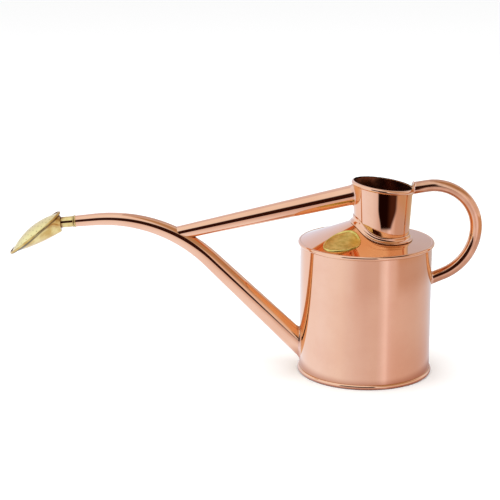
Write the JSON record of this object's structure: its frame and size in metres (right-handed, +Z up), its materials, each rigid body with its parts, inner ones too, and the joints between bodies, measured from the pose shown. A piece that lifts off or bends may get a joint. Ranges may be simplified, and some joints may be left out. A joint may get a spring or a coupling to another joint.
{
  "type": "watering can",
  "caption": "Small indoor watering can in polished copper sheet with an offset filler neck, long curved braced spout, loop handle and push-fit brass rose.",
  "frame": {"origin": "on the drum's axis, in the plane that the can stands on", "axes": "+Z up along the drum's axis, +X towards the handle, the spout towards -X"},
  "size_m": [0.4154, 0.12, 0.1735],
  "materials": {
    "copper": "mirror-polished copper",
    "copper_base": "bright rolled copper sheet",
    "solder": "brazed joint, polished over",
    "brass": "polished brass",
    "brass_face": "satin brass with spray holes",
    "plaque_brass": "stamped brass, plain",
    "seal_rubber": "matt black rubber"
  },
  "bodies": {
    "can": {"drum_wall": "copper", "base_hem": "copper", "rim_bead": "copper", "top_cover": "copper", "neck": "copper", "neck_rim": "copper", "neck_collar": "copper", "spout": "copper", "brace_tube": "copper", "handle_tube": "copper", "base_plate": "copper_base", "side_seam": "solder", "spout_solder": "solder", "brace_solder": "solder", "handle_top_solder": "solder", "handle_low_solder": "solder", "spout_ferrule": "brass", "maker_plaque": "plaque_brass"},
    "seal": {"rose_seal": "seal_rubber"},
    "rose": {"rose_socket": "brass", "rose_back": "brass", "rose_face": "brass_face", "rose_rim": "brass"}
  },
  "joints": [
    {"name": "rose_pull", "type": "slide", "parent": "can", "child": "seal", "axis": [-0.9962, 0, -0.0872], "range_m": [0, 0.014]},
    {"name": "rose_twist", "type": "hinge", "parent": "seal", "child": "rose", "pos_m": [-0.25506, 0, 0.13613], "axis": [-0.9962, 0, -0.0872], "continuous": true}
  ]
}
